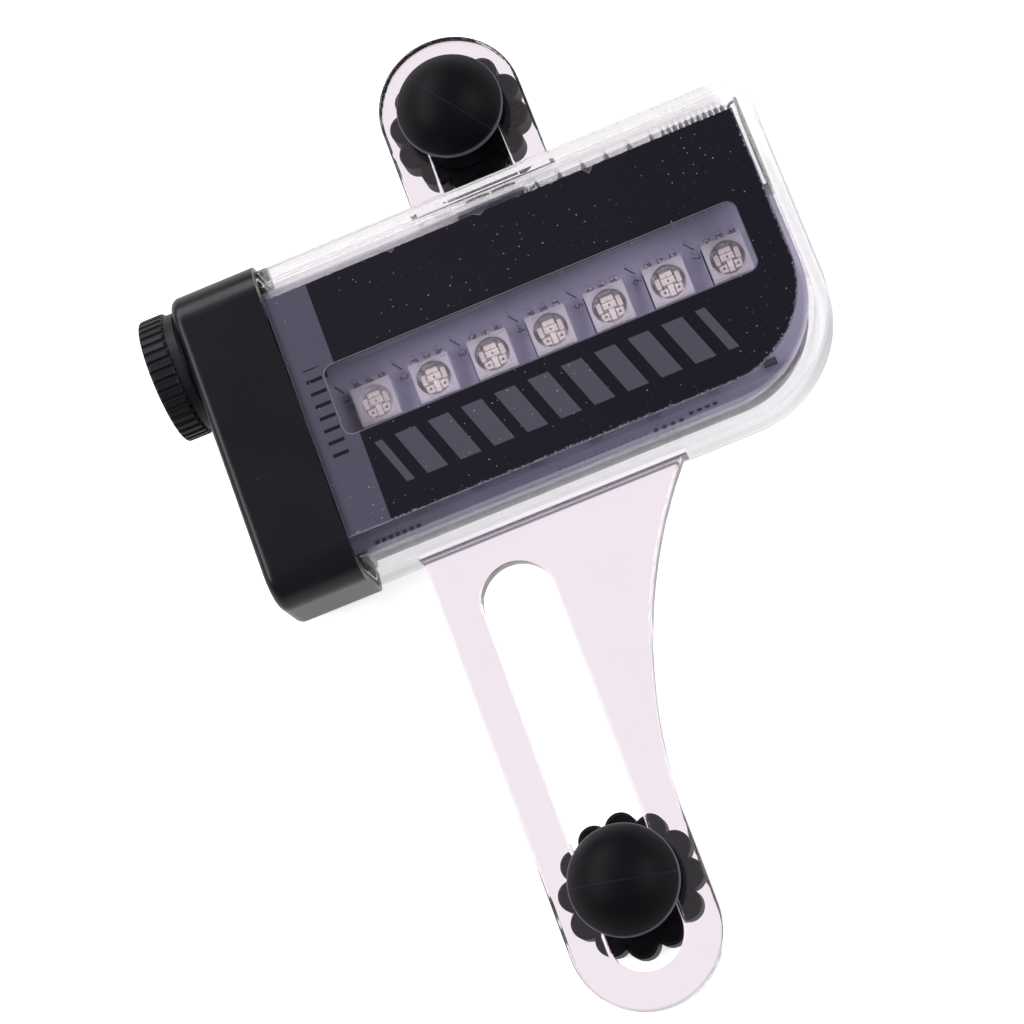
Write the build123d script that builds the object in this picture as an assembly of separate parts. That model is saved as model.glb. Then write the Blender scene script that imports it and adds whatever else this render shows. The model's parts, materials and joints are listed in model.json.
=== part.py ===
"""Spoke wheel light: a clear housing that is clamped to two spokes of a bicycle wheel.

A double-sided board of lamps and a small cell sit in a clear case, which is one moulding
with two slotted arms. A black end cap closes the case and a knurled screw cap closes the
cell channel. A mushroom screw and a lobed nut on each arm grip one spoke, which lies in
the slit of the screw. Lengths are millimetres.

X runs along the housing to its closed end, Y towards the short arm and Z to the front.
While the pieces are made, X is 0 on the long arm's middle line, Y is 0 at half the
housing's height and Z is 0 on its middle plane, where the mould halves meet. The written
pieces are moved so that the origin is under the middle of the whole light.
"""

import math
import os

from build123d import *

overrun = 2.0  # how far every cutting shape reaches past what it cuts

# Clear case, measured outside
case_end_x = 47.05
case_half_height = 19.8
case_half_thickness = 7.0
case_wall = 1.6
case_edge_radius = 3.0
case_top_corner_radius = 5.0
case_bottom_corner_radius = 14.0
channel_corner_radius = 1.5  # inside the case, at the far end of the cell channel

# Spigot of the case, which plugs into the end cap
spigot_length = 5.0
spigot_wall = 0.8
spigot_corner_radius = 3.0
spigot_clearance = 0.2

# Long arm, which carries the lower clamp; reaches run from the case's edge
long_arm_half_width = 9.0
long_arm_reach = 50.6  # to the middle of the round tip
long_arm_straight = 10.1  # from the tip's middle to where the flare starts
long_arm_root_x = 24.4  # where the flared edge meets the case
long_slot_root_reach = 9.2
lower_clamp_set_back = 6.13  # from the tip's middle to the clamp as it is set

# Short arm, which carries the upper clamp
short_arm_x = 13.26
short_arm_half_width = 8.9
short_arm_reach = 11.4
short_slot_root_reach = 0.75
upper_clamp_set_back = 0.46

# Both arms
arm_thickness = 2.5
arm_edge_radius = 0.35
slot_half_width = 4.55
root_rim_height = 0.6  # the low moulded step where an arm leaves the case
root_rim_half_thickness = 1.75
root_rim_margin = 0.4

# End cap
cap_rim_x = -15.7
cap_end_x = -26.6
cap_wall = 1.4
cap_end_wall = 1.6
cap_edge_radius = 4.4
cap_end_radius = 1.2
gasket_thickness = 0.8
tongue_thickness = 1.0
tongue_half_width = 2.5
tongue_reach = 1.0  # past the cap's rim, seen through the clear case

# Cell channel and cell, of the size known as triple A
cell_radius = 5.25
cell_body_length = 43.5
cell_nub_length = 1.0
cell_nub_radius = 1.9
cell_inset = 0.5  # from the end cap's outer face to the tip of the cell
cell_edge_radius = 0.4

# Screw cap over the channel
bore_radius = 6.2
plug_clearance = 0.1
plug_wall = 0.5
plug_length = 4.7
knob_radius = 7.8
knob_length = 3.1
knob_edge_radius = 0.4
knob_ridges = 40
knob_groove_radius = 0.34
collar_radius = 7.4
collar_length = 1.2
seal_section_radius = 0.4
seal_ring_radius = 6.65
seal_groove_clearance = 0.05
seal_seat_gap = 0.02
screw_cap_seat = 0.4  # gap between the end cap and the collar, filled by the seal

# Metal parts of the cell circuit
sheet_thickness = 0.3
contact_skirt = 0.18
contact_gap = 0.1
strip_thickness = 0.25
strip_half_width = 1.5
strip_reach = 9.5
strip_foot_drop = 1.6
spring_plate_half_size = 4.3
plate_tab_half_width = 1.2
plate_tab_foot = 1.5

# Coil spring behind the cell
spring_wire = 0.3
spring_outer_radius = 4.9
spring_bend_radius = 0.6
close_coils = 11
close_pitch = 0.76
changing_pitch = 1.5  # one coil between the close ones and the open ones
open_coils = 5

# Lamp board
board_thickness = 1.6
board_left_x = -20.0
board_edge_gap = 1.2  # from the case's long inner wall
board_cell_gap = 0.75
board_corner_radius = 13.5
board_gap = 0.3
board_rail_height = 0.8
board_rail_reach = 1.6
board_rail_top_gap = 3.8  # from the board's top edge
board_rail_width = 9.0

# Lamps
lamps_per_side = 7
lamp_pitch = 7.5
first_lamp_x = -7.6
lamp_row_drop = 7.2  # from the board's top edge to the middle of the lamps
lamp_size = 5.0
lamp_height = 1.6
lamp_edge_radius = 0.15
lamp_cup_radius = 2.1
lamp_cup_floor_radius = 1.7
lamp_cup_depth = 0.8
terminal_width = 0.9
terminal_thickness = 0.15
terminal_foot = 1.0
terminal_rise = 0.9
terminal_pitch = 1.6
terminals_per_edge = 3

# Other parts on the board, each a length along X, a width along Y and a height
chip_size = (4.9, 3.9, 1.5)
chip_place_shares = (0.34, 0.30)
chip_pin_width = 0.4
chip_pin_reach = 1.0
chip_pin_pitch = 1.27
chip_pins_per_edge = 4
coil_radius = 2.6
coil_height = 2.8
coil_place_shares = (0.20, 0.28)
coil_waist = 0.5
switch_radius = 1.9
switch_length = 8.0
switch_place_shares = (0.62, 0.24)
resistor_size = (1.6, 0.8, 0.5)
resistor_coil_gap = 0.57
capacitor_size = (2.0, 1.25, 1.1)
capacitor_place_shares = ((0.10, 0.30), (0.46, 0.34), (0.46, 0.24))

# Printed film labels on both faces
label_thickness = 0.15
label_end_gap = 0.1
label_far_x = 44.4
label_top_margin = 4.2
label_bottom_margin = 3.7
label_small_radius = 0.8
label_corner_radius = 12.0
window_margin_near = 4.1
window_margin_far = 3.0
window_half_height = 4.45
window_offset = 0.35  # from the middle of the lamps to the middle of the window
window_corner_radius = 1.2

# Spoke clamps
head_radius = 6.54
head_height = 5.95
head_widest_rise = 1.19  # from the arm's face to the head's widest ring
head_seat_radius = 5.6
stem_clearance = 0.2
thread_radius = 3.5
thread_clearance = 0.05
thread_end_gap = 0.3
spoke_slit_radius = 1.0  # half the width of the slit that takes a spoke
spoke_gap = 0.05
washer_radius = 6.0
washer_thickness = 0.5
washer_clearance = 0.2
nut_gap = 0.05
nut_lobes = 12
nut_outer_radius = 8.62
nut_lobe_radius = 1.9
lower_nut_turn = -10  # degrees, as the nuts are set
upper_nut_turn = 15
nut_edge_width = 0.35

# Places that follow from the sizes above
long_arm_tip_centre_y = -case_half_height - long_arm_reach
long_arm_flare_start_y = long_arm_tip_centre_y + long_arm_straight
long_slot_root_centre_y = -case_half_height - long_slot_root_reach
lower_clamp_y = long_arm_tip_centre_y + lower_clamp_set_back
short_arm_tip_centre_y = case_half_height + short_arm_reach
short_slot_root_y = case_half_height + short_slot_root_reach
upper_clamp_y = short_arm_tip_centre_y - upper_clamp_set_back
cavity_half_height = case_half_height - case_wall
cavity_half_thickness = case_half_thickness - case_wall
channel_y = cavity_half_height - cavity_half_thickness
board_bottom_y = -cavity_half_height + board_edge_gap
board_top_y = channel_y - cell_radius - board_cell_gap
lamp_row_y = board_top_y - lamp_row_drop
window_y = lamp_row_y + window_offset
label_top_y = case_half_height - label_top_margin
label_bottom_y = -case_half_height + label_bottom_margin
board_rail_top_y = board_top_y - board_rail_top_gap
board_rail_bottom_y = board_rail_top_y - board_rail_width
cavity_end_x = case_end_x - case_wall
spigot_end_x = cap_rim_x - spigot_length
spigot_half_height = cavity_half_height + spigot_wall
spigot_half_thickness = cavity_half_thickness + spigot_wall
gasket_end_x = spigot_end_x - gasket_thickness
pocket_half_height = spigot_half_height + spigot_clearance
pocket_half_thickness = spigot_half_thickness + spigot_clearance
cap_half_height = pocket_half_height + cap_wall
cap_half_thickness = pocket_half_thickness + cap_wall
cell_tip_x = cap_end_x + cell_inset
cell_base_x = cell_tip_x + cell_nub_length + cell_body_length
board_half = board_thickness / 2
board_end_x = cavity_end_x - board_gap
board_length = board_end_x - board_left_x
board_height = board_top_y - board_bottom_y
arm_half = arm_thickness / 2
spring_plate_x = cavity_end_x - sheet_thickness - contact_gap
knob_outer_x = cap_end_x - screw_cap_seat - collar_length - knob_length


def rounded_bar(near_x, far_x, half_height, half_thickness, radius):
    """A bar along X with a rounded rectangular section."""
    section = Plane.YZ * RectangleRounded(2 * half_height, 2 * half_thickness, radius)
    return Pos(near_x, 0, 0) * extrude(section, far_x - near_x)


def box_between(low, high):
    """A box from its lowest corner to its highest."""
    size = [b - a for a, b in zip(low, high)]
    middle = [(a + b) / 2 for a, b in zip(low, high)]
    return Pos(*middle) * Box(*size)


def slot_face(x, low_y, high_y, half_width):
    """A straight slot along Y with two round ends, given the middles of its ends."""
    middle = Pos(x, (low_y + high_y) / 2)
    return middle * Rot(0, 0, 90) * SlotCenterToCenter(high_y - low_y, 2 * half_width)


def case_block(near_x, inset, top_radius, bottom_radius):
    """The housing's rounded block, inset all round by a wall and open-ended at near_x."""
    far_x = case_end_x - inset
    half_height = case_half_height - inset
    half_thickness = case_half_thickness - inset
    plan = Pos((near_x + far_x) / 2, 0) * Rectangle(far_x - near_x, 2 * half_height)
    plan = fillet(plan.vertices().sort_by(lambda v: v.X + v.Y)[-1], top_radius)
    plan = fillet(plan.vertices().sort_by(lambda v: v.X - v.Y)[-1], bottom_radius)
    block = extrude(plan, half_thickness, both=True)
    rims = block.edges().filter_by(Axis.Z, reverse=True)
    rims = rims.filter_by(lambda e: e.bounding_box().max.X > near_x + inset + overrun)
    return fillet(rims, case_edge_radius - inset)


def softened_plate(face):
    """An arm's flat plate with small rounds on all its edges."""
    plate = extrude(face, arm_half, both=True)
    return fillet(plate.edges().filter_by(Axis.Z, reverse=True), arm_edge_radius)


def root_rim(near_x, far_x, outward):
    """The low step along an arm's root, on the side that outward names: 1 or -1."""
    inner_y = outward * (case_half_height - case_wall / 2)
    outer_y = outward * (case_half_height + root_rim_height)
    low = (near_x, min(inner_y, outer_y), -root_rim_half_thickness)
    high = (far_x, max(inner_y, outer_y), root_rim_half_thickness)
    rim = box_between(low, high)
    return fillet(rim.edges().filter_by(Axis.X), arm_edge_radius)


def long_arm():
    """Slotted arm with a flared root, a straight left edge and a round tip."""
    half = long_arm_half_width
    root_y = -case_half_height + case_wall / 2
    edge_y = -case_half_height
    tip_left = (-half, long_arm_tip_centre_y)
    tip_right = (half, long_arm_tip_centre_y)
    flare_start = (half, long_arm_flare_start_y)
    flare_end = (long_arm_root_x, edge_y)
    outline = [
        Line((-half, root_y), tip_left),
        ThreePointArc(tip_left, (0, long_arm_tip_centre_y - half), tip_right),
        Line(tip_right, flare_start),
        TangentArc(flare_start, flare_end, tangent=(0, 1)),
        Line(flare_end, (long_arm_root_x, root_y)),
        Line((long_arm_root_x, root_y), (-half, root_y)),
    ]
    slot = slot_face(0, long_arm_tip_centre_y, long_slot_root_centre_y, slot_half_width)
    plate = softened_plate(make_face(outline) - slot)
    return plate + root_rim(-half - root_rim_margin, long_arm_root_x, -1)


def short_arm():
    """Short slotted arm with a round tip, on the side of the cell channel."""
    half = short_arm_half_width
    root_y = case_half_height - case_wall / 2
    length = short_arm_tip_centre_y - root_y
    middle_y = (short_arm_tip_centre_y + root_y) / 2
    body = Pos(short_arm_x, middle_y) * Rectangle(2 * half, length)
    tip = Pos(short_arm_x, short_arm_tip_centre_y) * Circle(half)
    slot_length = short_arm_tip_centre_y - short_slot_root_y
    slot_middle_y = (short_arm_tip_centre_y + short_slot_root_y) / 2
    slot = Pos(short_arm_x, slot_middle_y) * Rectangle(2 * slot_half_width, slot_length)
    slot += Pos(short_arm_x, short_arm_tip_centre_y) * Circle(slot_half_width)
    plate = softened_plate(body + tip - slot)
    margin = half + root_rim_margin
    return plate + root_rim(short_arm_x - margin, short_arm_x + margin, 1)


def board_rails():
    """Two ribs on the case's end wall that hold the board's far edge between them."""
    rails = []
    for side in (1, -1):
        inner = side * (board_half + board_gap)
        outer = side * (board_half + board_gap + board_rail_height)
        low = (board_end_x - board_rail_reach, board_rail_bottom_y, min(inner, outer))
        high = (cavity_end_x + case_wall / 2, board_rail_top_y, max(inner, outer))
        rails.append(box_between(low, high))
    return rails


def clear_case():
    """The clear moulding: a hollow case, its spigot and both arms."""
    outer = case_block(cap_rim_x, 0, case_top_corner_radius, case_bottom_corner_radius)
    spigot = rounded_bar(
        spigot_end_x,
        cap_rim_x + case_wall,
        spigot_half_height,
        spigot_half_thickness,
        spigot_corner_radius,
    )
    inner_radius = case_bottom_corner_radius - case_wall
    cavity = case_block(spigot_end_x - overrun, case_wall, channel_corner_radius, inner_radius)
    body = outer + spigot + long_arm() + short_arm() - cavity
    for rail in board_rails():
        body += rail
    return body


def end_cap():
    """Black cap: a pocket for the spigot, a pocket for the board and a bore for the cell."""
    cap = rounded_bar(
        cap_end_x, cap_rim_x, cap_half_height, cap_half_thickness, cap_edge_radius
    )
    end_face = cap.faces().sort_by(Axis.X)[0]
    cap = fillet(end_face.edges(), cap_end_radius)
    cap -= rounded_bar(
        gasket_end_x,
        cap_rim_x + overrun,
        pocket_half_height,
        pocket_half_thickness,
        spigot_corner_radius + spigot_clearance,
    )
    pocket_low = (cap_end_x + cap_end_wall, -cavity_half_height, -cavity_half_thickness)
    pocket_top_y = channel_y - bore_radius - cap_wall
    pocket_high = (gasket_end_x + overrun, pocket_top_y, cavity_half_thickness)
    pocket = box_between(pocket_low, pocket_high)
    cap -= fillet(pocket.edges().filter_by(Axis.X), cap_end_radius)
    bore = Plane.YZ * Circle(bore_radius)
    bore_length = gasket_end_x - cap_end_x + 2 * overrun
    cap -= Pos(cap_end_x - overrun, channel_y, 0) * extrude(bore, bore_length)
    tongue_y = -cavity_half_height + board_gap / 2
    tongue_low = (cap_end_x + cap_end_wall / 2, tongue_y, -tongue_half_width)
    tongue_top = tongue_y + tongue_thickness
    tongue_high = (cap_rim_x + tongue_reach, tongue_top, tongue_half_width)
    return cap + box_between(tongue_low, tongue_high)


def cap_gasket():
    """Rubber loop between the spigot's end and the cap's step."""
    ring = rounded_bar(
        gasket_end_x,
        spigot_end_x,
        spigot_half_height,
        spigot_half_thickness,
        spigot_corner_radius,
    )
    hole = rounded_bar(
        gasket_end_x - overrun,
        spigot_end_x + overrun,
        cavity_half_height,
        cavity_half_thickness,
        case_edge_radius - case_wall,
    )
    return ring - hole


def channel_plane(x):
    """A plane across the cell channel at x, facing out of the cap."""
    return Plane(origin=(x, channel_y, 0), x_dir=(0, 1, 0), z_dir=(-1, 0, 0))


def disc(x, radius, length):
    """A round disc on the channel's axis that reaches from x out of the cap."""
    return extrude(channel_plane(x) * Circle(radius), length)


def screw_cap():
    """Knurled knob, plain collar with a seal groove, and the hollow plug in the bore."""
    collar_x = cap_end_x - screw_cap_seat
    knob_x = collar_x - collar_length
    knob = disc(knob_x, knob_radius, knob_length)
    knob = fillet(knob.edges(), knob_edge_radius)
    rim = Sketch() + PolarLocations(knob_radius, knob_ridges) * Circle(knob_groove_radius)
    grooves = extrude(channel_plane(knob_x + overrun) * rim, knob_length + 2 * overrun)
    knob -= grooves
    collar = disc(collar_x, collar_radius, collar_length)
    plug_end_x = cap_end_x + plug_length
    plug_radius = bore_radius - plug_clearance
    plug = disc(plug_end_x, plug_radius, plug_length + screw_cap_seat)
    floor_x = cell_tip_x - contact_gap - sheet_thickness
    mouth_x = plug_end_x + overrun
    hollow = disc(mouth_x, plug_radius - plug_wall, mouth_x - floor_x)
    groove_reach = seal_section_radius + seal_groove_clearance
    groove_depth = 2 * seal_section_radius + seal_seat_gap + seal_groove_clearance
    groove_depth -= screw_cap_seat
    groove_x = collar_x + overrun
    groove = disc(groove_x, seal_ring_radius + groove_reach, overrun + groove_depth)
    groove -= disc(groove_x, seal_ring_radius - groove_reach, overrun + groove_depth)
    return knob + (collar - groove) + plug - hollow


def cap_seal():
    """Rubber ring between the screw cap's collar and the end cap."""
    ring_x = cap_end_x - seal_seat_gap - seal_section_radius
    return channel_plane(ring_x) * Torus(seal_ring_radius, seal_section_radius)


def cap_contact():
    """Pressed metal cup in the plug: a disc, a skirt and a flange at the plug's mouth."""
    plug_inner = bore_radius - plug_clearance - plug_wall
    outer_radius = plug_inner - plug_clearance / 2
    inner_radius = outer_radius - contact_skirt
    disc_x = cell_tip_x - contact_gap
    mouth_x = cap_end_x + plug_length + plug_clearance / 2
    cup = disc(mouth_x, outer_radius, mouth_x - disc_x + sheet_thickness)
    cup += disc(mouth_x + contact_skirt, plug_inner + plug_wall, contact_skirt)
    return cup - disc(mouth_x + overrun, inner_radius, mouth_x + overrun - disc_x)


def battery_cell():
    """Cell with its raised terminal towards the screw cap."""
    can = disc(cell_base_x, cell_radius, cell_body_length)
    can = fillet(can.edges(), cell_edge_radius)
    nub_x = cell_tip_x + cell_nub_length
    return can + disc(nub_x, cell_nub_radius, cell_nub_length)


def contact_strip():
    """Strip from the cup's flange along the channel, folded down onto the board."""
    flange_x = cap_end_x + plug_length + plug_clearance / 2 + contact_skirt
    near_x = flange_x + contact_gap
    top_y = channel_y - cell_radius - contact_gap - strip_thickness
    far_x = near_x + strip_reach
    low_y = board_top_y + contact_gap
    low = (near_x, low_y, -strip_half_width)
    finger = box_between(low, (near_x + strip_thickness, top_y, strip_half_width))
    runner = box_between(low, (far_x, low_y + strip_thickness, strip_half_width))
    foot_face = board_half + contact_gap / 2
    low = (far_x - strip_half_width, board_top_y - strip_foot_drop, foot_face)
    high = (far_x, low_y + strip_thickness, foot_face + strip_thickness)
    return finger + runner + box_between(low, high)


def spring_plate():
    """Metal plate behind the spring, with a tab folded over the board."""
    half = spring_plate_half_size
    low = (spring_plate_x, channel_y - half, -half)
    high = (spring_plate_x + sheet_thickness, channel_y + half, half)
    plate = box_between(low, high)
    foot_face = board_half + contact_gap / 2
    foot_y = board_top_y - strip_foot_drop
    low = (spring_plate_x, foot_y, foot_face)
    far_z = foot_face + 2 * plate_tab_half_width
    high = (spring_plate_x + sheet_thickness, channel_y - half, far_z)
    tab = box_between(low, high)
    low = (spring_plate_x - plate_tab_foot, foot_y, foot_face)
    high = (spring_plate_x, foot_y + plate_tab_half_width, foot_face + sheet_thickness)
    return plate + tab + box_between(low, high)


def spring_nodes():
    """Points and directions of the coil, two for each turn, from the cell to the plate."""
    near_x = cell_base_x + contact_gap + spring_wire + spring_bend_radius
    far_x = spring_plate_x - spring_wire - spring_bend_radius
    closed = close_coils * close_pitch + changing_pitch
    open_pitch = (far_x - near_x - closed) / open_coils
    pitches = [open_pitch] * open_coils + [changing_pitch] + [close_pitch] * close_coils
    rises = [pitch / 2 for pitch in pitches for half_turn in (0, 1)]
    radius = spring_outer_radius - spring_wire / 2
    nodes = []
    x = near_x
    for step in range(len(rises) + 1):
        before = rises[max(step - 1, 0)]
        after = rises[min(step, len(rises) - 1)]
        slope = (before + after) / 2 / (math.pi * radius)
        sign = 1 if step % 2 == 0 else -1
        point = Vector(x, channel_y + sign * radius, 0)
        direction = Vector(slope, 0, sign).normalized()
        nodes.append((point, direction))
        x += after
    return nodes


def biarc(start, start_direction, end, end_direction):
    """Two arcs from start to end that leave and arrive in the given directions."""
    chord = end - start
    both = start_direction + end_direction
    a = 2 * (1 - start_direction.dot(end_direction))
    b = 2 * chord.dot(both)
    c = -chord.dot(chord)
    reach = (-b + math.sqrt(b * b - 4 * a * c)) / (2 * a)
    first = start + start_direction * reach
    second = end - end_direction * reach
    middle = (first + second) * 0.5
    along = (second - first).normalized()
    first_arc = TangentArc(start, middle, tangent=start_direction)
    return [first_arc, TangentArc(middle, end, tangent=along)]


def end_bend(point, direction, outward):
    """Where a bend from point ends when the wire turns from direction to outward."""
    across = (outward - direction * outward.dot(direction)).normalized()
    turn = math.acos(outward.dot(direction))
    rise = across * (1 - math.cos(turn))
    return point + (direction * math.sin(turn) + rise) * spring_bend_radius


def spring_path():
    """The spring's middle line: a straight end, a bend, the coils, a bend, a straight end."""
    nodes = spring_nodes()
    along = Vector(1, 0, 0)
    first_point, first_direction = nodes[0]
    last_point, last_direction = nodes[-1]
    near = end_bend(first_point, first_direction * -1, along * -1)
    far = end_bend(last_point, last_direction, along)
    pieces = [Line(near - along * spring_wire, near)]
    pieces.append(TangentArc(near, first_point, tangent=along))
    for (a, a_direction), (b, b_direction) in zip(nodes, nodes[1:]):
        pieces += biarc(a, a_direction, b, b_direction)
    pieces.append(TangentArc(last_point, far, tangent=last_direction))
    pieces.append(Line(far, far + along * spring_wire))
    return pieces


def least_gap(pieces, samples=16):
    """Least distance between two stretches of wire that are half a turn or more apart."""
    points = [piece @ (k / samples) for piece in pieces for k in range(samples)]
    apart = 2 * samples
    window = 6 * samples
    least = math.inf
    for i, a in enumerate(points):
        for b in points[i + apart : i + window]:
            least = min(least, (a - b).length)
    return least - spring_wire


def battery_spring():
    """Round wire swept along the coil."""
    pieces = spring_path()
    print(f"spring: least gap to itself {least_gap(pieces):.3f} mm")
    path = Wire([piece.edge() for piece in pieces])
    start = Plane(origin=pieces[0] @ 0, z_dir=(1, 0, 0))
    return sweep(start * Circle(spring_wire / 2), path=path)


def led_board():
    """Board with a large round corner that follows the case's."""
    middle = Pos((board_left_x + board_end_x) / 2, (board_bottom_y + board_top_y) / 2)
    plan = middle * Rectangle(board_length, board_height)
    corner = plan.vertices().sort_by(lambda v: v.X - v.Y)[-1]
    return extrude(fillet(corner, board_corner_radius), board_half, both=True)


def on_board(solid, x, y, side):
    """Stands a solid that rests on Z 0 on the board's front, side 1, or its back, side -1."""
    turn = Rot(0, 0, 0) if side == 1 else Rot(180, 0, 0)
    return Pos(x, y, side * board_half) * turn * solid


def board_place(shares):
    """A place on the board, as shares of its length and its height."""
    return board_left_x + shares[0] * board_length, board_bottom_y + shares[1] * board_height


def lamp_places():
    """X of each lamp of a row."""
    return [first_lamp_x + lamp_pitch * i for i in range(lamps_per_side)]


def lamp_cup():
    """The round hollow in a lamp's top, from its floor to its rim."""
    floor = Pos(0, 0, lamp_height - lamp_cup_depth) * Circle(lamp_cup_floor_radius)
    rim = Pos(0, 0, lamp_height) * Circle(lamp_cup_radius)
    return loft([floor, rim])


def lamp_body():
    """Square lamp body with a round cup."""
    body = Pos(0, 0, lamp_height / 2) * Box(lamp_size, lamp_size, lamp_height)
    body = fillet(body.edges().filter_by(Axis.Z), lamp_edge_radius)
    return body - lamp_cup()


def lamp_terminals():
    """Six bent terminals, three on each long side of one lamp."""
    pins = []
    for side in (1, -1):
        wall = side * lamp_size / 2
        foot_y = wall + side * terminal_foot
        riser_y = wall + side * terminal_thickness
        for k in range(terminals_per_edge):
            x = (k - (terminals_per_edge - 1) / 2) * terminal_pitch
            near_x = x - terminal_width / 2
            far_x = x + terminal_width / 2
            low = (near_x, min(wall, foot_y), 0)
            foot = box_between(low, (far_x, max(wall, foot_y), terminal_thickness))
            low = (near_x, min(wall, riser_y), 0)
            riser = box_between(low, (far_x, max(wall, riser_y), terminal_rise))
            pins.append(foot + riser)
    return pins


def side_group(pieces, side):
    """One compound of a lamp's pieces, repeated along a row."""
    row = [on_board(piece, x, lamp_row_y, side) for x in lamp_places() for piece in pieces]
    return Compound(children=[solid for piece in row for solid in piece.solids()])


def controller_chip():
    """Small control chip with two rows of pins."""
    length, width, height = chip_size
    lift = chip_pin_width / 2
    body = box_between((-length / 2, -width / 2, lift), (length / 2, width / 2, height + lift))
    chip = chamfer(body.edges().group_by(Axis.Z)[-1], lift)
    for side in (1, -1):
        inner_y = side * (width / 2 - lift)
        outer_y = side * (width / 2 + chip_pin_reach)
        for k in range(chip_pins_per_edge):
            x = (k - (chip_pins_per_edge - 1) / 2) * chip_pin_pitch
            low = (x - chip_pin_width / 2, min(inner_y, outer_y), 0)
            high = (x + chip_pin_width / 2, max(inner_y, outer_y), chip_pin_width)
            chip += box_between(low, high)
    x, y = board_place(chip_place_shares)
    return on_board(chip, x, y, 1)


def boost_inductor():
    """Drum core with a waist, which raises the cell's voltage."""
    drum = extrude(Circle(coil_radius), coil_height)
    band = extrude(Circle(coil_radius + overrun), coil_height / 2)
    band -= extrude(Circle(coil_radius - coil_waist), coil_height / 2)
    drum -= Pos(0, 0, coil_height / 4) * band
    x, y = board_place(coil_place_shares)
    return on_board(drum, x, y, 1)


def motion_switch():
    """Tube-shaped switch that starts the light when the wheel turns."""
    tube = Plane.YZ * Circle(switch_radius)
    body = Pos(-switch_length / 2, 0, switch_radius) * extrude(tube, switch_length)
    body = fillet(body.edges(), switch_radius / 4)
    x, y = board_place(switch_place_shares)
    return on_board(body, x, y, -1)


def small_block(size, x, y, side):
    """One chip resistor or capacitor."""
    length, width, height = size
    block = box_between((-length / 2, -width / 2, 0), (length / 2, width / 2, height))
    return on_board(block, x, y, side)


def chip_resistors():
    """A row of resistors under the front lamps and the coil, one for each lamp."""
    y = board_place(coil_place_shares)[1] - coil_radius - resistor_coil_gap - resistor_size[1] / 2
    blocks = [small_block(resistor_size, x, y, 1) for x in lamp_places()]
    return Compound(children=blocks)


def chip_capacitors():
    """Three capacitors on the board's back."""
    places = [board_place(shares) for shares in capacitor_place_shares]
    return Compound(children=[small_block(capacitor_size, x, y, -1) for x, y in places])


def face_label(side):
    """Printed film with a window over the lamps, on the front, side 1, or the back, -1."""
    near_x = cap_rim_x + label_end_gap
    middle = Pos((near_x + label_far_x) / 2, (label_top_y + label_bottom_y) / 2)
    plan = middle * Rectangle(label_far_x - near_x, label_top_y - label_bottom_y)
    corner = plan.vertices().sort_by(lambda v: v.X - v.Y)[-1]
    plan = fillet(corner, label_corner_radius)
    plan = fillet(plan.vertices().sort_by(lambda v: v.X + v.Y)[-1], label_small_radius)
    window_near = first_lamp_x - window_margin_near
    window_far = lamp_places()[-1] + window_margin_far
    window_length = window_far - window_near
    window = RectangleRounded(window_length, 2 * window_half_height, window_corner_radius)
    plan -= Pos((window_near + window_far) / 2, window_y) * window
    film = extrude(plan, label_thickness)
    lift = case_half_thickness if side == 1 else -case_half_thickness - label_thickness
    return Pos(0, 0, lift) * film


def clamp_levels():
    """Heights of the spoke's middle, of the washer's front and of the nut's front."""
    spoke_z = -arm_half - spoke_gap - spoke_slit_radius
    washer_z = spoke_z - spoke_slit_radius - spoke_gap
    return spoke_z, washer_z, washer_z - washer_thickness - nut_gap


def clamp_screw(x, y):
    """Mushroom head, stem in the arm's slot and a thread slit across for the spoke."""
    spoke_z = clamp_levels()[0]
    widest_z = arm_half + head_widest_rise
    top_z = arm_half + head_height
    stem_radius = slot_half_width - stem_clearance
    dome_rise = top_z - widest_z
    sphere_radius = (head_radius**2 + dome_rise**2) / (2 * dome_rise)
    shoulder_share = math.sin(math.pi / 4)
    dome_middle_z = top_z - sphere_radius
    middle_angle = math.asin(head_radius / sphere_radius) / 2
    crown = (
        sphere_radius * math.sin(middle_angle),
        dome_middle_z + sphere_radius * math.cos(middle_angle),
    )
    undercut = (
        head_seat_radius + (head_radius - head_seat_radius) * shoulder_share,
        widest_z - head_widest_rise * shoulder_share,
    )
    stem_end_z = -arm_half + spoke_gap
    thread_end_z = thread_end_gap - cap_half_thickness
    profile = [
        Line((0, thread_end_z), (thread_radius, thread_end_z)),
        Line((thread_radius, thread_end_z), (thread_radius, stem_end_z)),
        Line((thread_radius, stem_end_z), (stem_radius, stem_end_z)),
        Line((stem_radius, stem_end_z), (stem_radius, arm_half)),
        Line((stem_radius, arm_half), (head_seat_radius, arm_half)),
        ThreePointArc((head_seat_radius, arm_half), undercut, (head_radius, widest_z)),
        ThreePointArc((head_radius, widest_z), crown, (0, top_z)),
        Line((0, top_z), (0, thread_end_z)),
    ]
    screw = revolve(Plane.XZ * make_face(profile), Axis.Z)
    slit_face = Pos(0, spoke_z) * Circle(spoke_slit_radius)
    slit_depth = spoke_z - thread_end_z + overrun
    slit_face += Pos(0, spoke_z - slit_depth / 2) * Rectangle(2 * spoke_slit_radius, slit_depth)
    slit = extrude(Plane.YZ * slit_face, thread_radius + overrun, both=True)
    return Pos(x, y, 0) * (screw - slit)


def clamp_washer(x, y):
    """Flat washer between the spoke and the nut."""
    washer_z = clamp_levels()[1]
    ring = Circle(washer_radius) - Circle(thread_radius + washer_clearance)
    return Pos(x, y, washer_z - washer_thickness) * extrude(ring, washer_thickness)


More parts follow.
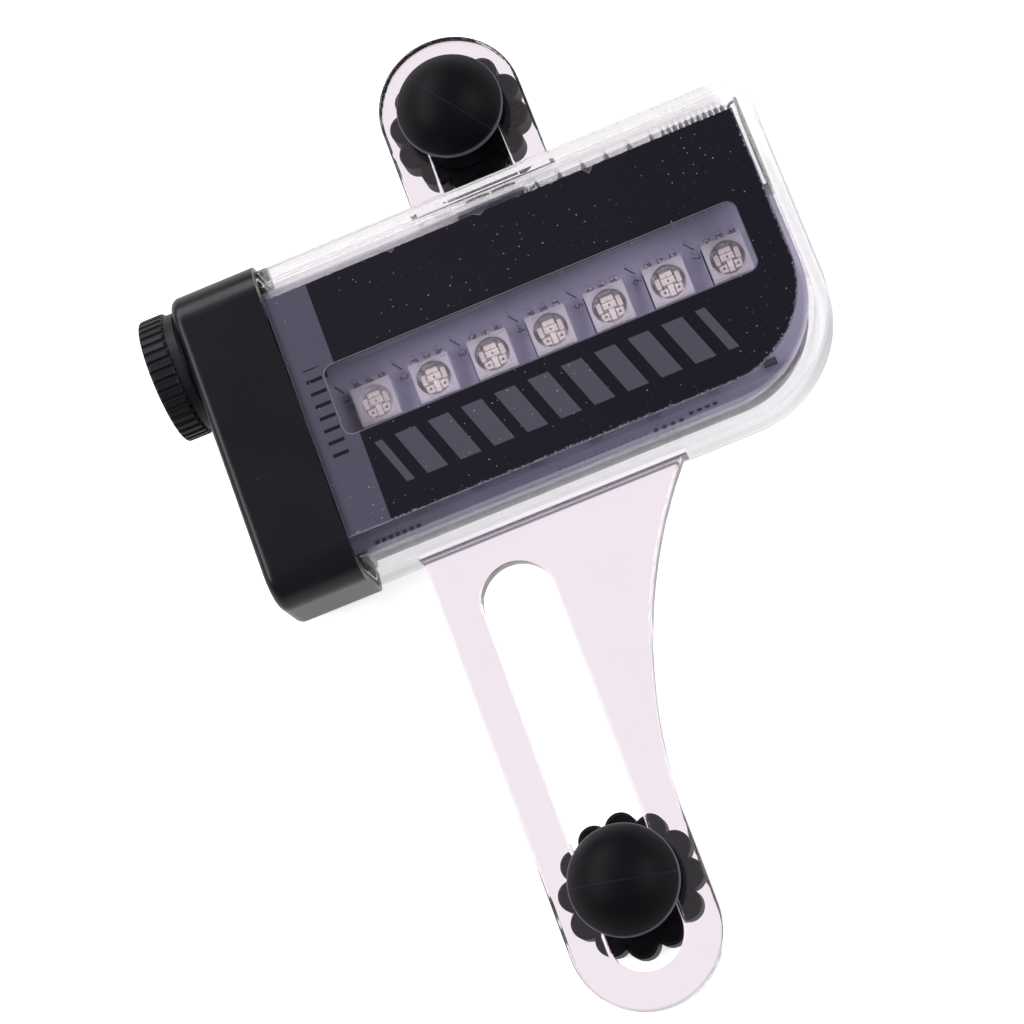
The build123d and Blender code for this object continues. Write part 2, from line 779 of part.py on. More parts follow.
def clamp_nut(x, y, turn):
    """Nut with round lobes for the fingers, turned by some degrees."""
    nut_z = clamp_levels()[2]
    back_z = -cap_half_thickness
    lobe_ring = nut_outer_radius - nut_lobe_radius
    nut = extrude(Circle(lobe_ring), nut_z - back_z)
    lobe = extrude(Circle(nut_lobe_radius), nut_z - back_z)
    lobe = chamfer(lobe.edges(), nut_edge_width)
    for place in PolarLocations(lobe_ring, nut_lobes):
        nut += place * lobe
    bore = extrude(Circle(thread_radius + thread_clearance), nut_z - back_z)
    return Pos(x, y, back_z) * Rot(0, 0, turn) * (nut - bore)


def build():
    """Every piece by name, in the frame in which the pieces are made."""
    pieces = {
        "clear_case": clear_case(),
        "end_cap": end_cap(),
        "cap_gasket": cap_gasket(),
        "screw_cap": screw_cap(),
        "cap_seal": cap_seal(),
        "cap_contact": cap_contact(),
        "battery_cell": battery_cell(),
        "battery_spring": battery_spring(),
        "spring_plate": spring_plate(),
        "contact_strip": contact_strip(),
        "led_board": led_board(),
        "controller_chip": controller_chip(),
        "boost_inductor": boost_inductor(),
        "motion_switch": motion_switch(),
        "chip_resistors": chip_resistors(),
        "chip_capacitors": chip_capacitors(),
    }
    body = lamp_body()
    for side, side_name in ((1, "front"), (-1, "rear")):
        for number, x in enumerate(lamp_places(), start=1):
            pieces[f"{side_name}_led_{number}"] = on_board(body, x, lamp_row_y, side)
        pieces[f"{side_name}_led_resin"] = side_group([lamp_cup()], side)
        pieces[f"{side_name}_led_terminals"] = side_group(lamp_terminals(), side)
        pieces[f"{side_name}_label"] = face_label(side)
    clamps = (
        ("lower", 0, lower_clamp_y, lower_nut_turn),
        ("upper", short_arm_x, upper_clamp_y, upper_nut_turn),
    )
    for end, x, y, nut_turn in clamps:
        pieces[f"{end}_clamp_screw"] = clamp_screw(x, y)
        pieces[f"{end}_clamp_washer"] = clamp_washer(x, y)
        pieces[f"{end}_clamp_nut"] = clamp_nut(x, y, nut_turn)
    return pieces


def under_the_middle():
    """The move that puts the origin under the middle of the whole light."""
    low_y = long_arm_tip_centre_y - long_arm_half_width
    high_y = short_arm_tip_centre_y + short_arm_half_width
    return Pos(-(knob_outer_x + case_end_x) / 2, -(low_y + high_y) / 2, cap_half_thickness)


os.makedirs("parts", exist_ok=True)
for name, piece in build().items():
    export_step(under_the_middle() * piece, f"parts/{name}.step")
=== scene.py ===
import json
import math

import bpy
from mathutils import Euler, Matrix, Vector


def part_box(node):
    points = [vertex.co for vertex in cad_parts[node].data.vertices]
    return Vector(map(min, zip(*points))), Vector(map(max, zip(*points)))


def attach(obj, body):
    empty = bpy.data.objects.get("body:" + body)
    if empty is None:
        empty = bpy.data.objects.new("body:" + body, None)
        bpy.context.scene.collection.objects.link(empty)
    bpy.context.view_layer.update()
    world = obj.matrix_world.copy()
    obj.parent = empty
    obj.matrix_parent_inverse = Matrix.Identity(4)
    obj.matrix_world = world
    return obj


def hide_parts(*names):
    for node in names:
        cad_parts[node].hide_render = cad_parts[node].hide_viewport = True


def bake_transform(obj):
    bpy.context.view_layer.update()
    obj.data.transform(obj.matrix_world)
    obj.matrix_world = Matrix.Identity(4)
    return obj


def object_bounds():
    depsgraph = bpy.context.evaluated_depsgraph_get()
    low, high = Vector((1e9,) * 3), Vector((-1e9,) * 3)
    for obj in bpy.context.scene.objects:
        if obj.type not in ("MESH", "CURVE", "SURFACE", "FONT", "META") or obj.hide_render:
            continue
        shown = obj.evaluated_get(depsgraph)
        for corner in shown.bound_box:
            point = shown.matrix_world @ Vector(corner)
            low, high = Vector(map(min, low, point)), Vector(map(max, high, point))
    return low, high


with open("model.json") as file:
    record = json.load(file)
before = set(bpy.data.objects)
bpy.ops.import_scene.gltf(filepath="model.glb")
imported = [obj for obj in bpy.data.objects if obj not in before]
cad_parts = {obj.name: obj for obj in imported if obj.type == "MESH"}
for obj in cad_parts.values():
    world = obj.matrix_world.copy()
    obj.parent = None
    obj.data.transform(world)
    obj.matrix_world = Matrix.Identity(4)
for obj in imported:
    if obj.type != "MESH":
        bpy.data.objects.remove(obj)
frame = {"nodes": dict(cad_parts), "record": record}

bl_info = {
    "name": "Spoke wheel light",
    "version": (1, 0, 0),
    "blender": (4, 5, 0),
    "location": "3D View > Sidebar > Wheel light",
    "description": "Finishes and fine pieces for a clear light that is clamped to wheel spokes",
    "category": "Object",
}

cad_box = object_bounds()
nodes = frame["nodes"]

mm = 0.001
sides = {"front": 1, "rear": -1}
middle_z = 7.8 * mm  # the mould's parting plane
head_ring_z = 10.24 * mm  # the widest ring of the clamps' heads
root_rim_y = -0.78 * mm  # the long arm's root, just outside the case
lamp_count = 7
lamp_pitch = 7.5 * mm
cup_depth = 0.8 * mm  # from a lamp's face to the floor of its cup

# The arms' round tips: the middle's Y, the radius and the way they point along Y
arm_tips = (
    ("lower", cad_box[0].y + 9 * mm, 9 * mm, -1),
    ("upper", cad_box[1].y - 8.9 * mm, 8.9 * mm, 1),
)
# The parting line over each clamp's head: its turn about Z, its lean and how far aside, in mm
head_lines = (("lower", -0.2, 0.119, 0), ("upper", -0.969, 0.179, 0.25))
# Bubbles under the label's top edge: the middle's X, half a width and a depth, in mm
bubbles = (
    (18.2, 1.35, 1.5), (-7.0, 1.4, 1.15), (13.6, 1.3, 0.95), (11.3, 1.0, 0.85),
    (9.3, 1.0, 0.8), (4.4, 1.9, 1.05), (1.0, 1.4, 0.8), (27.5, 0.7, 0.6), (-14.2, 0.8, 0.6),
)
# A lamp's plates: X and Y from the lamp's middle, width and depth, in mm
lamp_plates = (
    (-0.05, 1.14, 1.5, 0.62), (-1.3, 0.3, 0.6, 1.3), (1.28, 0.42, 0.6, 1.34),
    (-0.9, -1.0, 0.98, 0.92), (0.98, -0.9, 0.92, 1.0), (-0.02, 0.34, 1.66, 0.76),
    (0.04, -0.86, 0.66, 1.4),
)
# A lamp's chips: X and Y of the chip and of its wire's other end, in mm
lamp_chips = ((-0.02, 0.28, 0, 1.05), (-0.86, -0.95, -1.2, 0.2), (0.94, -0.9, 1.2, 0.2))
# How a bond wire rises: the share of its way and the height above the cup's floor, in mm
wire_arc = ((0, 0.19), (0.3, 0.42), (0.7, 0.36), (1, 0.1))
# Rows of dashes along the board's edge: from X, to X, Y, how many, width and height, in mm
board_dashes = (
    (2.0, 12.9, 3.4, 15, 0.26, 0.12),
    (14.2, 17.4, 3.4, 4, 0.55, 0.42),
    (18.8, 21.8, 3.75, 4, 0.6, 0.3),
    (-21.3, -16.0, 3.5, 7, 0.55, 0.5),
)
# The stage, in metres: the floor's side and height, and each lamp's place and size
floor_side = 6
floor_z = -0.0002
stage_lamps = {
    "top_lamp": ((-0.35, 0.75, 0.55), (0.7, 0.5)),
    "left_lamp": ((-0.7, 0.14, 0.62), (0.6, 0.5)),
    "right_lamp": ((0.75, -0.12, 0.62), (0.6, 0.5)),
}


def node_middle(name):
    """The middle of a CAD node's box."""
    low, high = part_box(name)
    return (low + high) / 2


def tint(red, green, blue):
    """A colour as it looks on a screen, from 0 to 255, as Blender's linear colour."""
    shares = (red / 255, green / 255, blue / 255)
    return tuple(s / 12.92 if s <= 0.04045 else ((s + 0.055) / 1.055) ** 2.4 for s in shares)


# Shader nodes

class Value:
    """A socket of a finish; arithmetic on it adds Math nodes."""

    def __init__(self, finish, socket):
        self.finish = finish
        self.socket = socket

    def maths(self, operation, *values):
        return self.finish.node("ShaderNodeMath", {"operation": operation}, values)

    def __add__(self, other):
        return self.maths("ADD", self, other)

    def __radd__(self, other):
        return self.maths("ADD", other, self)

    def __sub__(self, other):
        return self.maths("SUBTRACT", self, other)

    def __rsub__(self, other):
        return self.maths("SUBTRACT", other, self)

    def __mul__(self, other):
        return self.maths("MULTIPLY", self, other)

    def __truediv__(self, other):
        return self.maths("DIVIDE", self, other)

    def __mod__(self, other):
        return self.maths("FLOORED_MODULO", self, other)

    def __abs__(self):
        return self.maths("ABSOLUTE", self)

    def at_least(self, other):
        return self.maths("MAXIMUM", self, other)

    def at_most(self, other):
        return self.maths("MINIMUM", self, other)


def distance(first, second):
    """How far a point is from the origin, from its two coordinates."""
    return first.maths("SQRT", first * first + second * second)


class Finish:
    """A material and the nodes that paint it."""

    def __init__(self, name):
        self.material = bpy.data.materials.new(name)
        self.material.use_nodes = True
        self.tree = self.material.node_tree
        self.tree.nodes.clear()

    def node(self, kind, settings=None, values=(), output=0):
        """Adds a node: first its settings, then its sockets, listed or by name or place."""
        made = self.tree.nodes.new(kind)
        for key, value in (settings or {}).items():
            setattr(made, key, value)
        pairs = values.items() if isinstance(values, dict) else enumerate(values)
        for key, value in pairs:
            if isinstance(value, Value):
                self.tree.links.new(value.socket, made.inputs[key])
            elif value is not None:
                made.inputs[key].default_value = value
        return Value(self, made.outputs[output]) if made.outputs else None

    def place(self):
        """Where a point is on the object, in metres."""
        return self.node("ShaderNodeTexCoord", output="Object")

    def axes(self):
        """X, Y and Z of a point on the object."""
        split = self.node("ShaderNodeSeparateXYZ", {}, [self.place()])
        outputs = split.socket.node.outputs
        return [Value(self, outputs[axis]) for axis in "XYZ"]

    def stretched(self, scale):
        """The place of a point, with a scale for each axis."""
        return self.node("ShaderNodeMapping", {}, {"Vector": self.place(), "Scale": scale})

    def noise(self, scale, detail=4.0, roughness=0.5, place=None):
        """Cloudy noise from 0 to 1."""
        values = {"Vector": place or self.place(), "Scale": scale, "Detail": detail}
        values["Roughness"] = roughness
        return self.node("ShaderNodeTexNoise", {}, values)

    def specks(self, scale, size, share, dimensions="3D"):
        """Round specks, in a share of the cells of a grid of that scale."""
        values = {"Vector": self.place(), "Scale": scale}
        cells = self.node("ShaderNodeTexVoronoi", {"voronoi_dimensions": dimensions}, values)
        outputs = cells.socket.node.outputs
        chance = self.node("ShaderNodeSeparateColor", {}, [Value(self, outputs["Color"])])
        return self.fade(cells, size, 0) * self.fade(chance, share, share * 0.9)

    def fade(self, value, start, end):
        """0 before start, 1 after end and smooth between them."""
        values = {"Value": value, "From Min": start, "From Max": end}
        return self.node("ShaderNodeMapRange", {"interpolation_type": "SMOOTHSTEP"}, values)

    def between(self, value, low, high, soft):
        """1 where value lies from low to high, with soft borders."""
        return self.fade(value, low - soft, low + soft) * self.fade(value, high + soft, high - soft)

    def around(self, value, middle, half, soft):
        """1 where value lies within half of the middle, with soft borders."""
        return self.between(value, middle - half, middle + half, soft)

    def mixed(self, factor, first, second):
        """A colour between two, the second where factor is 1."""
        colours = [c if isinstance(c, Value) else (*c[:3], 1) for c in (first, second)]
        values = {0: factor, 6: colours[0], 7: colours[1]}
        return self.node("ShaderNodeMix", {"data_type": "RGBA"}, values, output=2)

    def bump(self, height, distance, strength=1.0, normal=None):
        """A normal from a height of 0 to 1 that stands for a distance in metres."""
        values = {"Height": height, "Distance": distance, "Strength": strength}
        return self.node("ShaderNodeBump", {}, {**values, "Normal": normal})

    def shade(self, **sockets):
        """Ends the finish with its shader. Names are the shader's own, with _ for a space."""
        values = {}
        for key, value in sockets.items():
            if isinstance(value, tuple) and len(value) == 3:
                value = (*value, 1)
            values[key.replace("_", " ")] = value
        shader = self.node("ShaderNodeBsdfPrincipled", {}, values)
        self.node("ShaderNodeOutputMaterial", {}, [shader])
        return self.material


# Finishes

def clear_plastic(looks):
    """Clear moulding with a faint tint, haze, fine scratches, a seam, painted shade on edges seen
    at a grazing angle, and painted dark lines at the arms' roots and round tips.
    """
    f = Finish("clear_plastic")
    x, y, z = f.axes()
    seam = f.around(z, middle_z, 0.09 * mm, 0.05 * mm)
    # Painted shade: a darker colour, less see-through, where the surface is seen at a grazing angle
    facing = f.node("ShaderNodeLayerWeight", {}, {"Blend": 0.5}, output=1)
    rim = f.fade(facing, 0.72, 0.94)
    edge = f.fade(facing, 0.62, 0.98)
    low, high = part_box("end_cap")
    housing = f.between(y, low.y + 0.5 * mm, high.y - 1 * mm, 0.3 * mm)
    cloud = f.noise(120, 3)
    colour = f.mixed(cloud * 0.5, tuple(looks.case_tint), tint(241, 229, 239))
    colour = f.mixed(seam * 0.4, colour, tint(120, 112, 126))
    colour = f.mixed(edge * (0.75 - housing * 0.55), colour, tint(92, 86, 98))
    # Painted shade: a dark violet line along the long arm's root, where it meets the case
    root_shade = f.around(y, root_rim_y, 0.22 * mm, 0.1 * mm)
    root_shade = root_shade * f.around(z, middle_z, 1.9 * mm, 0.1 * mm)
    colour = f.mixed(root_shade * 0.8, colour, tint(74, 66, 104))
    # Painted shade: a darker line just inside the edge of each arm's round tip
    for end, middle_y, radius, sense in arm_tips:
        beyond = (y - middle_y) * sense
        out = distance(beyond.at_least(0), x - node_middle(f"{end}_clamp_screw").x)
        tip_edge_shade = f.between(out, radius - 0.26 * mm, radius + 0.1 * mm, 0.06 * mm)
        tip_edge_shade = tip_edge_shade * f.fade(beyond, -9 * mm, -5 * mm)
        colour = f.mixed(tip_edge_shade * 0.4, colour, tint(128, 120, 134))
    scratch = f.fade(f.noise(2600, 2, 0.6, f.stretched((1, 0.04, 1))), 0.62, 0.7)
    haze = 0.015 + cloud * 0.02 + scratch * 0.05
    colour = f.mixed(housing * 0.7, colour, tint(230, 215, 230))
    see_through = 1 - housing * (1 - edge * 0.35 - rim * 0.65) * 0.82
    return f.shade(
        Base_Color=colour, Roughness=haze, Transmission_Weight=1.0, IOR=1.45, Alpha=see_through
    )


def moulded_black(name, colour, roughness, grain, depth):
    """Black moulded plastic with a grain, a little dust and a painted highlight along the rim next
    to the case.
    """
    f = Finish(name)
    fine = f.noise(grain, 5, 0.6)
    cloud = f.noise(90, 3)
    dust = f.specks(900, 0.08, 0.14)
    tone = f.mixed(cloud * 0.6, tuple(colour), tint(24, 23, 29))
    tone = f.mixed(dust * 0.5, tone, tint(150, 146, 156))
    # Painted highlight: a paler line along the rim next to the case
    rim_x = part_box("end_cap")[1].x
    rim = f.fade(f.axes()[0], rim_x - 0.14 * mm, rim_x - 0.05 * mm)
    tone = f.mixed(rim * 0.6, tone, tint(126, 122, 134))
    rough = roughness + (cloud - 0.5) * 0.12 + dust * 0.3
    normal = f.bump(fine, depth, 0.5)
    return f.shade(Base_Color=tone, Roughness=rough, Specular_IOR_Level=0.28, Normal=normal)


def clamp_black(looks):
    """Matte black plastic with the mould's parting line over the heads and a painted highlight ring
    round their widest part.
    """
    f = Finish("clamp_black")
    x, y, z = f.axes()
    fine = f.noise(5200, 5, 0.65)
    cloud = f.noise(140, 3)
    lines = None
    for end, turn, lean, aside in head_lines:
        middle = node_middle(f"{end}_clamp_screw")
        along = (x - middle.x) * math.cos(turn) + (y - middle.y) * math.sin(turn)
        across = (y - middle.y) * math.cos(turn) - (x - middle.x) * math.sin(turn)
        across = across + (z - head_ring_z) * lean - aside * mm
        near = f.fade(abs(along), 7 * mm, 6.9 * mm) * f.fade(abs(across), 0.13 * mm, 0.03 * mm)
        lines = near if lines is None else lines + near
    lines = lines * f.fade(z, middle_z + 2.2 * mm, middle_z + 2.4 * mm)
    tone = f.mixed(cloud * 0.5, tuple(looks.clamp_black), tint(18, 17, 22))
    tone = f.mixed(lines * 0.3, tone, tint(52, 50, 58))
    # Painted highlight: a paler ring round the heads' widest part
    ring_highlight = f.between(z, head_ring_z - 0.3 * mm, head_ring_z + 0.35 * mm, 0.2 * mm)
    tone = f.mixed(ring_highlight * 0.8, tone, tint(112, 108, 118))
    rough = 0.48 + (cloud - 0.5) * 0.16 + fine * 0.06
    normal = f.bump(fine, 0.012 * mm, 0.3)
    normal = f.bump(lines, 0.05 * mm, 0.8, normal)
    return f.shade(Base_Color=tone, Roughness=rough, Specular_IOR_Level=0.1, Normal=normal)


def seal_rubber():
    """Soft black rubber with a bloom."""
    f = Finish("seal_rubber")
    bloom = f.noise(700, 5)
    tone = f.mixed(bloom * 0.6, tint(22, 22, 24), tint(58, 57, 60))
    return f.shade(Base_Color=tone, Roughness=0.62 + bloom * 0.2, Normal=f.bump(bloom, 0.02 * mm))


def metal(name, bright, dull, roughness, brushed):
    """Plated or drawn metal with fine lines along the brushed axis and some tarnish."""
    f = Finish(name)
    lines = f.noise(6000, 3, 0.6, f.stretched(brushed))
    stain = f.noise(420, 4)
    tone = f.mixed(f.fade(stain, 0.45, 0.75), bright, dull)
    rough = roughness + lines * 0.12 + stain * 0.08
    normal = f.bump(lines, 0.006 * mm, 0.4)
    return f.shade(Base_Color=tone, Metallic=1.0, Roughness=rough, Normal=normal)


def from_lamp(x):
    """How far X is from the middle of the nearest lamp, with its sign."""
    first = node_middle("front_led_1").x
    return ((x - first + lamp_pitch / 2) % lamp_pitch) - lamp_pitch / 2


def board_mask(looks):
    """Solder mask, paler at the lamps' pads and over the tracks, with small dark holes."""
    f = Finish("board_mask")
    x, y, z = f.axes()
    row_y = node_middle("front_led_1").y
    pads = f.fade(abs(from_lamp(x)), 3.0 * mm, 2.9 * mm)
    pads = pads * f.around(y, row_y, 3.4 * mm, 0.06 * mm)
    tracks = f.between(y % (1.27 * mm), 0.3 * mm, 0.75 * mm, 0.04 * mm)
    tracks = tracks * f.fade(y, row_y - 4.6 * mm, row_y - 4.8 * mm)
    holes = f.specks(420, 0.16, 0.25)
    cloud = f.noise(150, 4)
    slope = f.fade(y, row_y - 5 * mm, row_y + 7 * mm)
    tone = f.mixed(slope, tuple(looks.board_colour), tint(166, 162, 192))
    # Painted shadow: darker along the board's lower strip, beyond the label's edge
    tone = f.mixed(f.fade(y, row_y - 13 * mm, row_y - 14.2 * mm) * 0.6, tone, tint(100, 98, 128))
    tone = f.mixed(pads * 0.25, tone, tint(186, 184, 206))
    tone = f.mixed(tracks * 0.3, tone, tint(182, 180, 204))
    tone = f.mixed(holes * 0.6, tone, tint(120, 118, 136))
    tone = f.mixed(cloud * 0.3, tone, tint(150, 148, 168))
    normal = f.bump(tracks + pads, 0.03 * mm, 0.5)
    return f.shade(Base_Color=tone, Roughness=0.34 + cloud * 0.16, Normal=normal)


def moulded_part(name, colour, paler, roughness, grain, glow=0.0):
    """Small moulded, plated or fired electronic part, which may be given a faint painted glow."""
    f = Finish(name)
    fine = f.noise(grain, 5, 0.6)
    tone = f.mixed(fine * 0.7, colour, paler)
    return f.shade(
        Base_Color=tone, Roughness=roughness + fine * 0.15, Normal=f.bump(fine, 0.01 * mm),
        Emission_Color=tone, Emission_Strength=glow,
    )


def lamp_ceramic(looks):
    """Ceramic of the lamps' bodies, darker on the cups' floors."""
    f = Finish("lamp_ceramic")
    x, y, z = f.axes()
    out = distance(from_lamp(x), y - node_middle("front_led_1").y)
    fine = f.noise(3000, 5, 0.6)
    tone = f.mixed(fine * 0.7, tuple(looks.lamp_colour), tint(206, 199, 212))
    tone = f.mixed(f.fade(out, 1.85 * mm, 1.65 * mm), tone, tint(150, 142, 156))
    return f.shade(Base_Color=tone, Roughness=0.42 + fine * 0.15, Normal=f.bump(fine, 0.01 * mm))


def terminal_metal():
    """Tinned legs in a dark tone that is painted shade from the case over them, with painted glints
    in a few bright spots.
    """
    f = Finish("terminal_metal")
    # Painted glints: bright spots on a dark tone that stands in for the case's shade
    glint_spots = f.fade(f.noise(2400, 3), 0.5, 0.62)
    tone = f.mixed(glint_spots, tint(70, 66, 80), tint(214, 208, 216))
    return f.shade(Base_Color=tone, Metallic=0.4, Roughness=0.4 - glint_spots * 0.1)


def lamp_resin():
    """Clear casting resin over the lamp's chips."""
    f = Finish("lamp_resin")
    cloud = f.noise(900, 3)
    tone = f.mixed(cloud * 0.5, tint(232, 222, 230), tint(216, 206, 216))
    normal = f.bump(cloud, 0.03 * mm, 0.4)
    return f.shade(
        Base_Color=tone, Roughness=0.12 + cloud * 0.1, Alpha=0.1 + cloud * 0.06, Normal=normal
    )


def film_bars(f, x, y, low, pitch):
    """The label's row of slanted bars."""
    soft = 0.05 * mm
    row_y = low.y + 3.7 * mm
    row_height = 5.9 * mm
    slant = x + (y - row_y) * 0.35
    bars = f.between(slant % pitch, 0.5 * mm, 3.1 * mm, soft)
    bars = bars * f.between(slant, low.x + 8.8 * mm, low.x + 50.4 * mm, soft)
    return bars * f.between(y, row_y, row_y + row_height, soft)


def film_ticks(f, x, y, low):
    """The short ticks up the label's end band."""
    soft = 0.05 * mm
    ticks = f.between(y % (1.6 * mm), 0.4 * mm, 0.85 * mm, soft)
    ticks = ticks * f.between(x, low.x + 1.6 * mm, low.x + 3.6 * mm, soft)
    return ticks * f.between(y, low.y + 9.5 * mm, low.y + 21 * mm, soft)


def film_lifted(x, from_top, ragged):
    """How deep a point lies within the bubbles under the label's top edge, in metres."""
    lifted = None
    for middle, half, depth in bubbles:
        reach = (1 - abs(x - middle * mm) / (half * mm)) * (depth * mm) - from_top
        lifted = reach if lifted is None else lifted.at_least(reach)
    return lifted + ragged * 0.5


def film_window_rim(f, x, y):
    """A thin painted highlight along the edge of the label's window."""
    first = node_middle("front_led_1")
    left = first.x - 4.1 * mm
    right = node_middle("front_led_7").x + 3.0 * mm
    half_height = 4.45 * mm
    corner = 1.2 * mm
    beside = abs(x - (left + right) / 2) - (right - left) / 2 + corner
    above = abs(y - (first.y + 0.35 * mm)) - half_height + corner
    outside = distance(above.at_least(0), beside.at_least(0)) - corner
    return f.between(outside, 0.02 * mm, 0.13 * mm, 0.04 * mm)


def label_film(looks):
    """Near-black film: grey end band, slanted bars, a clear margin, bubbles and dust."""
    f = Finish("label_film")
    x, y, z = f.axes()
    low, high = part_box("front_label")
    radius = 12 * mm  # of the film's round corner
    from_top = high.y - y
    beside = (x - (high.x - radius)).at_least(0)
    below = ((low.y + radius) - y).at_least(0)
    from_corner = radius - distance(beside, below)
    from_edge = from_top.at_most(x - low.x).at_most(from_corner)
    ragged = (f.noise(1500, 3) - 0.5) * 0.5 * mm

    band = f.between(x, low.x - 1 * mm, low.x + looks.band_width, 0.06 * mm)
    bars = film_bars(f, x, y, low, looks.bar_pitch)
    ticks = film_ticks(f, x, y, low)
    grey = f.mixed(ticks, tuple(looks.band_grey), tuple(looks.film_black))
    tone = f.mixed(band, tuple(looks.film_black), grey)
    tone = f.mixed(bars, tone, tuple(looks.bar_grey))

    lifted = film_lifted(x, from_top, ragged)
    bubble = f.fade(lifted, 0, 0.06 * mm)
    bubble_rim = f.between(lifted, 0, 0.12 * mm, 0.05 * mm)
    tone = f.mixed(bubble * 0.8, tone, tint(74, 71, 84))
    tone = f.mixed(bubble_rim * 0.6, tone, tint(128, 124, 138))
    crumbs = f.fade(from_corner + ragged * 1.6, 0.34 * mm, 0.1 * mm)
    crumbs = crumbs * f.fade(f.noise(3200, 3), 0.42, 0.6)
    tone = f.mixed(crumbs * 0.75, tone, tint(138, 134, 146))
    edge = f.fade(from_edge, 0.2 * mm, 0.08 * mm)
    tone = f.mixed(edge * 0.6, tone, tint(118, 114, 134))
    # Painted highlight along the window's edge
    tone = f.mixed(film_window_rim(f, x, y) * 0.55, tone, tint(140, 136, 150))

    dust = f.specks(640, 0.06, 0.34, "2D") + f.specks(410, 0.05, 0.3, "2D")
    fine_dust = f.specks(1300, 0.07, 0.2, "2D")
    marks = (dust * 0.75 + fine_dust * 0.4) * f.fade(f.noise(120, 2), 0.3, 0.6)
    tone = f.mixed(marks, tone, tint(190, 186, 198))
    rough = 0.42 + f.noise(60, 3) * 0.14 + marks * 0.2
    normal = f.bump(f.noise(420, 3), 0.05 * mm, 0.25)
    normal = f.bump(marks, 0.05 * mm, 0.6, normal)
    film_end = f.fade(from_top + ragged * 0.4, 0.62 * mm, 0.74 * mm)
    opaque = 0.22 + film_end * 0.78
    return f.shade(
        Base_Color=tone, Roughness=rough, Specular_IOR_Level=0.15, Alpha=opaque, Normal=normal
    )


def board_ink():
    """Dark screen-printed ink, a little broken up."""
    f = Finish("board_ink")
    grain = f.noise(4200, 3)
    tone = f.mixed(f.fade(grain, 0.5, 0.8), tint(34, 33, 44), tint(84, 82, 98))
    return f.shade(Base_Color=tone, Roughness=0.6)


def cell_wrap():
    """Printed sleeve of the cell: pale silver with a darker end band."""
    f = Finish("cell_wrap")
    end_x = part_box("battery_cell")[1].x
    band = f.fade(f.axes()[0], end_x - 9 * mm, end_x - 8.9 * mm)
    tone = f.mixed(band, tint(206, 204, 212), tint(92, 92, 104))
    rough = 0.25 + f.noise(5200, 3) * 0.12
    return f.shade(Base_Color=tone, Metallic=0.6, Roughness=rough, Coat_Weight=0.4)


finishes = {}


def make_finishes(looks):
    """Every finish by the name of the record's material slot, or its own."""
    finishes.update(
        clear_plastic=clear_plastic(looks),
        black_gloss_plastic=moulded_black("cap_black", looks.cap_black, 0.3, 2400, 0.02 * mm),
        black_matte_plastic=clamp_black(looks),
        knob_black=moulded_black("knob_black", looks.cap_black, 0.46, 4200, 0.03 * mm),
        seal_rubber=seal_rubber(),
        nickel_contact=metal(
            "nickel_contact", tint(206, 203, 206), tint(160, 156, 160), 0.24, (1, 0.05, 1)
        ),
        cell_steel=metal(
            "cell_steel", tint(216, 216, 220), tint(180, 180, 188), 0.22, (0.05, 1, 1)
        ),
        spring_wire=metal(
            "spring_wire", tint(150, 148, 156), tint(104, 102, 112), 0.3, (1, 1, 0.1)
        ),
        circuit_board=board_mask(looks),
        chip_epoxy=moulded_part("chip_epoxy", tint(34, 34, 38), tint(64, 63, 68), 0.5, 4200),
        ferrite=moulded_part("ferrite", tint(58, 58, 62), tint(88, 87, 92), 0.55, 3600),
        capacitor_ceramic=moulded_part(
            "capacitor_ceramic", tint(170, 140, 108), tint(196, 170, 140), 0.4, 3000
        ),
        led_ceramic=lamp_ceramic(looks),
        terminal_metal=terminal_metal(),
        led_resin=lamp_resin(),
        label_film=label_film(looks),
        board_ink=board_ink(),
        cell_wrap=cell_wrap(),
        # The lamps' plates get a faint painted glow that brightens them in their cups
        lead_frame=moulded_part(
            "lead_frame", tint(244, 230, 232), tint(252, 242, 244), 0.35, 3000, 0.14
        ),
    )


def wear(piece, finish):
    """Gives a piece one finish, and a piece of this file its slot."""
    piece.data.materials.clear()
    piece.data.materials.append(finishes[finish])


# Modelling helpers

def start():
    """Leaves edit mode and deselects everything."""
    if bpy.context.object and bpy.context.object.mode != "OBJECT":
        bpy.ops.object.mode_set(mode="OBJECT")
    bpy.ops.object.select_all(action="DESELECT")


def only(piece):
    """Makes a piece the one selected and active object."""
    start()
    piece.select_set(True)
    bpy.context.view_layer.objects.active = piece


def place_in_mesh(piece):
    """Moves a piece's place, turn and scale into its mesh."""
    only(piece)
    bpy.ops.object.transform_apply(location=True, rotation=True, scale=True)


def as_mesh(piece):
    """A curve or a text as a mesh."""
    only(piece)
    bpy.ops.object.convert(target="MESH")
    return bpy.context.object


def settle(piece, name, body, finish):
    """Names a piece, puts its place in its mesh, and gives it a finish and a body, if any."""
    place_in_mesh(piece)
    piece.name = name
    piece.data.name = name
    wear(piece, finish)
    if body:
        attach(piece, body)
    return piece


def joined(parts):
    """Several mesh objects as one."""
    start()
    for part in parts:
        part.select_set(True)
    bpy.context.view_layer.objects.active = parts[0]
    bpy.ops.object.join()
    return bpy.context.object


def block(middle, size, edge):
    """A block with rounded edges, added at its place."""
    start()
    bpy.ops.mesh.primitive_cube_add(size=1, location=middle, scale=size)
    piece = bpy.context.object
    bpy.ops.object.mode_set(mode="EDIT")
    bpy.ops.mesh.select_all(action="SELECT")
    bpy.ops.mesh.bevel(offset=edge, segments=2, affect="EDGES")
    bpy.ops.object.mode_set(mode="OBJECT")
    return piece


